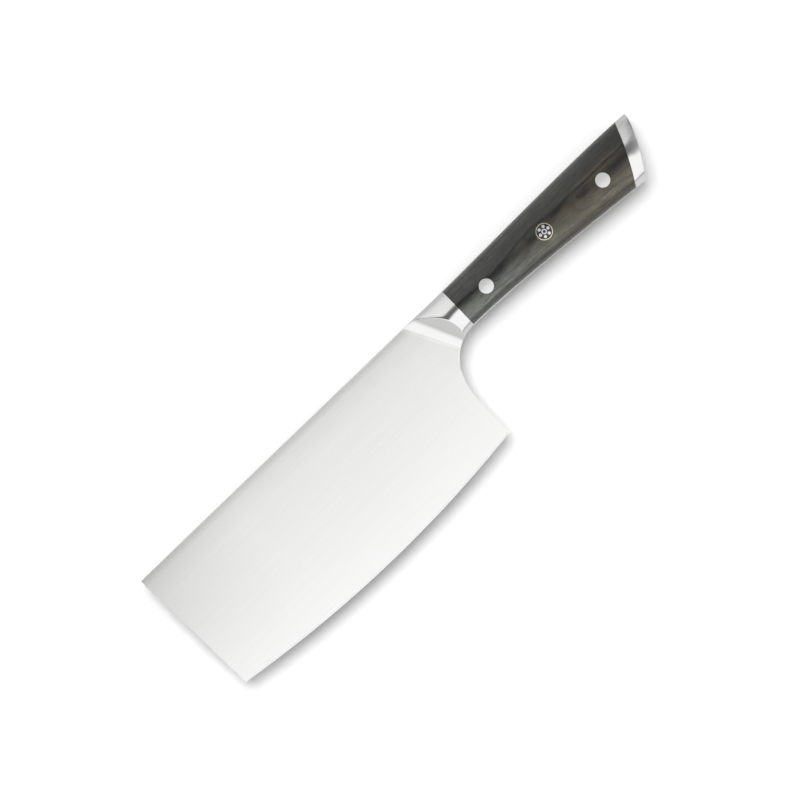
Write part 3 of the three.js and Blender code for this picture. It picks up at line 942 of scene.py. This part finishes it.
pair("bolster", bolster_skin(), polished, "polished_steel")
pair("end_cap", cap_skin(), polished, "polished_steel")
pair("scale", scale_skin(), wood, "dark_wood")
pin_holes = [
    (RIVET_RADIUS + PIN_GAP, FRONT_RIVET),
    (RIVET_RADIUS + PIN_GAP, REAR_RIVET),
    (TUBE_RADIUS + PIN_GAP, MOSAIC),
]
for side in ("left", "right"):
    drilled(bpy.data.objects[f"scale_{side}_look"], pin_holes)

rivet("rivet_front", FRONT_RIVET, bright_satin)
rivet("rivet_rear", REAR_RIVET, bright_satin)
pipe("mosaic_tube", MOSAIC, TUBE_RADIUS, TUBE_WALL, brass, "pale_brass")
pipe("mosaic_core_tube", MOSAIC, CORE_RADIUS, CORE_WALL, bright_satin, "satin_steel")
pin("mosaic_core_plug", MOSAIC, CORE_RADIUS - CORE_WALL - INLAY_GAP, 0, resin, "black_resin")
inlay_holes = [(CORE_RADIUS + INLAY_GAP, MOSAIC)]
for i, place in enumerate(rod_places()):
    pin(f"mosaic_rod_{i + 1}", place, ROD_RADIUS, PIN_LIFT, bright_satin, "satin_steel", 40)
    inlay_holes.append((ROD_RADIUS + INLAY_GAP, place))
filling = pin("mosaic_resin", MOSAIC, TUBE_RADIUS - TUBE_WALL - INLAY_GAP, 0, resin, "black_resin", 96)
drilled(filling, inlay_holes)

# Stage: a white table just under the knife. From here on, lengths are in metres.
TABLE_HALF = 5.0
TABLE_GAP = 0.0002
table_mesh = bpy.data.meshes.new("table")
table_corners = [(x * TABLE_HALF, y * TABLE_HALF, 0) for x, y in ((-1, -1), (1, -1), (1, 1), (-1, 1))]
table_mesh.from_pydata(table_corners, [], [(0, 1, 2, 3)])
table = bpy.data.objects.new("table", table_mesh)
bpy.context.scene.collection.objects.link(table)
table.location.z = -TABLE_GAP

ground = bpy.data.materials.new("white_table")
ground.use_nodes = True
nodes, links = ground.node_tree.nodes, ground.node_tree.links
nodes.clear()


def stage_node(kind, *inputs, **settings):
    """A node of the table or of the room, with its first inputs."""
    made = nodes.new("ShaderNode" + kind)
    for key, value in settings.items():
        setattr(made, key, value)
    for socket, value in zip(made.inputs, inputs):
        if isinstance(value, bpy.types.NodeSocket):
            links.new(value, socket)
        else:
            socket.default_value = value
    return made


def calc(operation, a, b=0.0):
    return stage_node("Math", a, b, operation=operation).outputs[0]


def soft_step(value, low, high, new_low, new_high):
    made = stage_node("MapRange", value, low, high, new_low, new_high, interpolation_type="SMOOTHSTEP")
    return made.outputs["Result"]


def off_centre(value, middle, half):
    """Distance from a middle, in halves."""
    return calc("DIVIDE", calc("SUBTRACT", value, middle), half)


# The tone that steel mirrors differs before and behind the knife, and is painted dim in a rectangle under the
# blade as the blade's shade.
SHADE_MIDDLE = (-0.072, -0.004)
SHADE_HALF = (0.083, 0.034)
path = stage_node("LightPath")
place = stage_node("SeparateXYZ", stage_node("NewGeometry").outputs["Position"])
beside_spine = soft_step(place.outputs["Y"], 0.0, 0.04, 1.05, 0.86)
along_blade = calc("ABSOLUTE", off_centre(place.outputs["X"], SHADE_MIDDLE[0], SHADE_HALF[0]))
across_blade = calc("ABSOLUTE", off_centre(place.outputs["Y"], SHADE_MIDDLE[1], SHADE_HALF[1]))
open_share = soft_step(calc("MAXIMUM", along_blade, across_blade), 0.85, 1.05, 0.12, 1.0)
mirrored_tone = calc("MULTIPLY", beside_spine, open_share)
unseen_tone = soft_step(path.outputs["Is Glossy Ray"], 0.0, 1.0, 0.88, mirrored_tone)
tone = soft_step(path.outputs["Is Camera Ray"], 0.0, 1.0, unseen_tone, 1.15)
matt = stage_node("BsdfDiffuse", tone)
links.new(matt.outputs["BSDF"], stage_node("OutputMaterial").inputs["Surface"])
table_mesh.materials.append(ground)

# Light: a soft key from above the spine, even fill, and two soft panels that the steel mirrors.
AMBIENT = 0.5
KEY = 0.5
KEY_HEIGHT = math.radians(70)
KEY_LEAN = (0.16, 0.987)
key_light = bpy.data.lights.new("key", "SUN")
key_light.energy = KEY * math.pi / math.sin(KEY_HEIGHT)
key_light.angle = math.radians(36)
key = bpy.data.objects.new("key", key_light)
bpy.context.scene.collection.objects.link(key)
flat_reach = math.cos(KEY_HEIGHT)
towards = Vector((KEY_LEAN[0] * flat_reach, KEY_LEAN[1] * flat_reach, math.sin(KEY_HEIGHT)))
key.rotation_euler = towards.to_track_quat("Z", "Y").to_euler()
key.visible_glossy = False

world = bpy.data.worlds.new("studio")
bpy.context.scene.world = world
world.use_nodes = True
nodes, links = world.node_tree.nodes, world.node_tree.links
nodes.clear()

DEGREES = 180 / math.pi
direction = stage_node("SeparateXYZ", stage_node("TexCoord").outputs["Generated"])
dx, dy, dz = direction.outputs
lean_y = calc("MULTIPLY", calc("ARCTAN2", dy, dz), DEGREES)
lean_x = calc("MULTIPLY", calc("ARCSINE", dx), DEGREES)


def by_angle(angle, stops):
    """A grey value that follows stops of an angle in degrees."""
    made = stage_node("ValToRGB", calc("ADD", calc("DIVIDE", angle, 180.0), 0.5))
    elements = made.color_ramp.elements
    while len(elements) < len(stops):
        elements.new(0.5)
    for element, (stop, value) in zip(elements, stops):
        element.position = stop / 180 + 0.5
        element.color = (value, value, value, 1)
    return made.outputs["Color"]


def toned(value, share):
    """One where the share is nought, and the value where it is one."""
    return calc("ADD", 1.0, calc("MULTIPLY", calc("SUBTRACT", value, 1.0), share))


panels = by_angle(lean_y, [(-90, 1.49), (-2, 1.54), (12, 1.48), (24, 1.48), (60, 1.37), (90, 1.1)])
beside_panels = by_angle(lean_x, [
    (-60, 0.7), (-28, 0.8), (-12, 0.93), (-2, 0.9), (8, 0.67), (20, 0.65), (45, 0.15), (70, 0.12),
])
beyond = soft_step(lean_y, -4.0, 14.0, 0.0, 1.0)
dimmed = calc("MULTIPLY", panels, toned(beside_panels, beyond))

# The room's far end, seen low over the blade, and the far edge of the table, seen low over the belly
far_end = by_angle(lean_x, [
    (-61.1, 0.62), (-60.5, 0.68), (-58.5, 0.765), (-53.7, 0.917), (-49, 0.985), (-45, 1),
])
table_edge = by_angle(lean_y, [(-90, 0.4), (-84, 0.46), (-78, 0.85), (-74, 1)])
near_side = soft_step(lean_x, -50.0, -30.0, 0.0, 1.0)
dimmed = calc("MULTIPLY", calc("MULTIPLY", dimmed, far_end), toned(table_edge, near_side))

# The room's corners, low beside the panels
CORNER_DIMMING = 0.45
FRONT_CORNER_SHARE = 0.8
round_z = calc("MULTIPLY", calc("ARCTAN2", calc("ABSOLUTE", dx), calc("ABSOLUTE", dy)), DEGREES)
low = soft_step(dz, 0.45, 0.66, 1.0, 0.0)
before_edge = calc("MULTIPLY", calc("LESS_THAN", dx, 0.0), soft_step(dy, -0.12, 0.02, 1.0, 0.0))
side_corners = calc("MULTIPLY", soft_step(round_z, 20.0, 40.0, 0.0, 1.0), calc("SUBTRACT", 1.0, before_edge))
slanting = calc("MULTIPLY", soft_step(round_z, 6.0, 18.0, 0.0, 1.0), soft_step(round_z, 44.0, 54.0, 1.0, 0.0))
front_corner = calc("MULTIPLY", calc("MULTIPLY", slanting, before_edge), FRONT_CORNER_SHARE)
corner = calc("MULTIPLY", low, calc("ADD", side_corners, front_corner))
dimmed = calc("MULTIPLY", dimmed, calc("SUBTRACT", 1.0, calc("MULTIPLY", corner, CORNER_DIMMING)))

# The dark gap between the panels, which leans and widens towards the butt
past = calc("MAXIMUM", calc("SUBTRACT", lean_x, 7.0), 0.0)
gap_middle = calc("SUBTRACT", 6.0, calc("MULTIPLY", past, 0.465))
gap_half = calc("ADD", 10.0, calc("MULTIPLY", past, 0.4))
off_y = off_centre(lean_y, gap_middle, gap_half)
off_x = off_centre(lean_x, -8.0, 56.0)
off = calc("ADD", calc("MULTIPLY", off_y, off_y), calc("MULTIPLY", off_x, off_x))
gap = soft_step(off, 0.1, 1.9, 1.0, 0.0)
seen = stage_node("Mix", data_type="RGBA")
links.new(gap, seen.inputs["Factor"])
links.new(dimmed, seen.inputs[6])
links.new(by_angle(lean_x, [(-2, 0.2), (8, 0.29)]), seen.inputs[7])

path = stage_node("LightPath")
mirrored_sky = stage_node("Background", seen.outputs[2], 1.0)
fill_sky = stage_node("Background", (1, 1, 1, 1), AMBIENT)
white_sky = stage_node("Background", (1, 1, 1, 1), 1.0)
bright = calc("MAXIMUM", path.outputs["Is Glossy Ray"], path.outputs["Is Transmission Ray"])
lit = stage_node("MixShader", bright, fill_sky.outputs[0], mirrored_sky.outputs[0])
shown = stage_node("MixShader", path.outputs["Is Camera Ray"], lit.outputs[0], white_sky.outputs[0])
links.new(shown.outputs[0], stage_node("OutputWorld").inputs["Surface"])

# Camera: straight above, turned so that the handle points to the upper right.
DISTANCE = 8.0
FRAME_WIDTH = 0.3663
SENSOR = 36
AIM = (143.1, -22.5, BLADE_HALF)
TURN = math.radians(-43.92)
camera_data = bpy.data.cameras.new("camera")
camera_data.sensor_width = SENSOR
camera_data.lens = SENSOR * DISTANCE / FRAME_WIDTH
camera = bpy.data.objects.new("camera", camera_data)
bpy.context.scene.collection.objects.link(camera)
camera.location = Vector(to_frame(AIM)) + Vector((0, 0, DISTANCE))
camera.rotation_euler = (0, 0, TURN)
bpy.context.scene.camera = camera

bpy.context.scene.view_settings.view_transform = "Standard"
